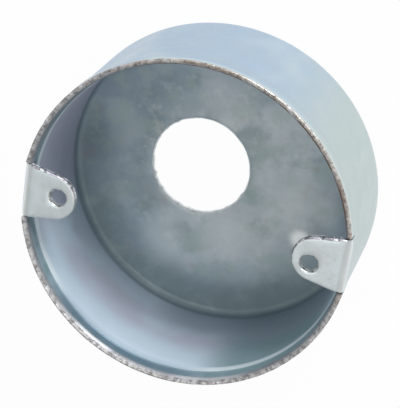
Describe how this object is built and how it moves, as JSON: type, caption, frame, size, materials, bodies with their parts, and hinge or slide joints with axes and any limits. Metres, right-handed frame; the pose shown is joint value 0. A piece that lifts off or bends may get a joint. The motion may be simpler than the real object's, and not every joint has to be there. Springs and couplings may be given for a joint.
{
  "type": "deep drawn metal cup",
  "caption": "Round deep drawn cup in plated sheet steel, open at the top, with a round hole off centre in its base and two screw ears folded in at the mouth.",
  "frame": {"origin": "centre of the base's underside, on the axis of the drawn wall", "axes": "+Z along the cup's axis, from the base to the open mouth; the two ears point along the X axis, and the line through their holes passes 0.5 mm beside the axis"},
  "size_m": [0.0668, 0.0668, 0.03],
  "materials": {
    "zinc_plated_steel": "satin zinc plating, cloudy, with darker patina on the base and stained cut edges"
  },
  "bodies": {
    "root": {"cup": "zinc_plated_steel"}
  },
  "joints": []
}
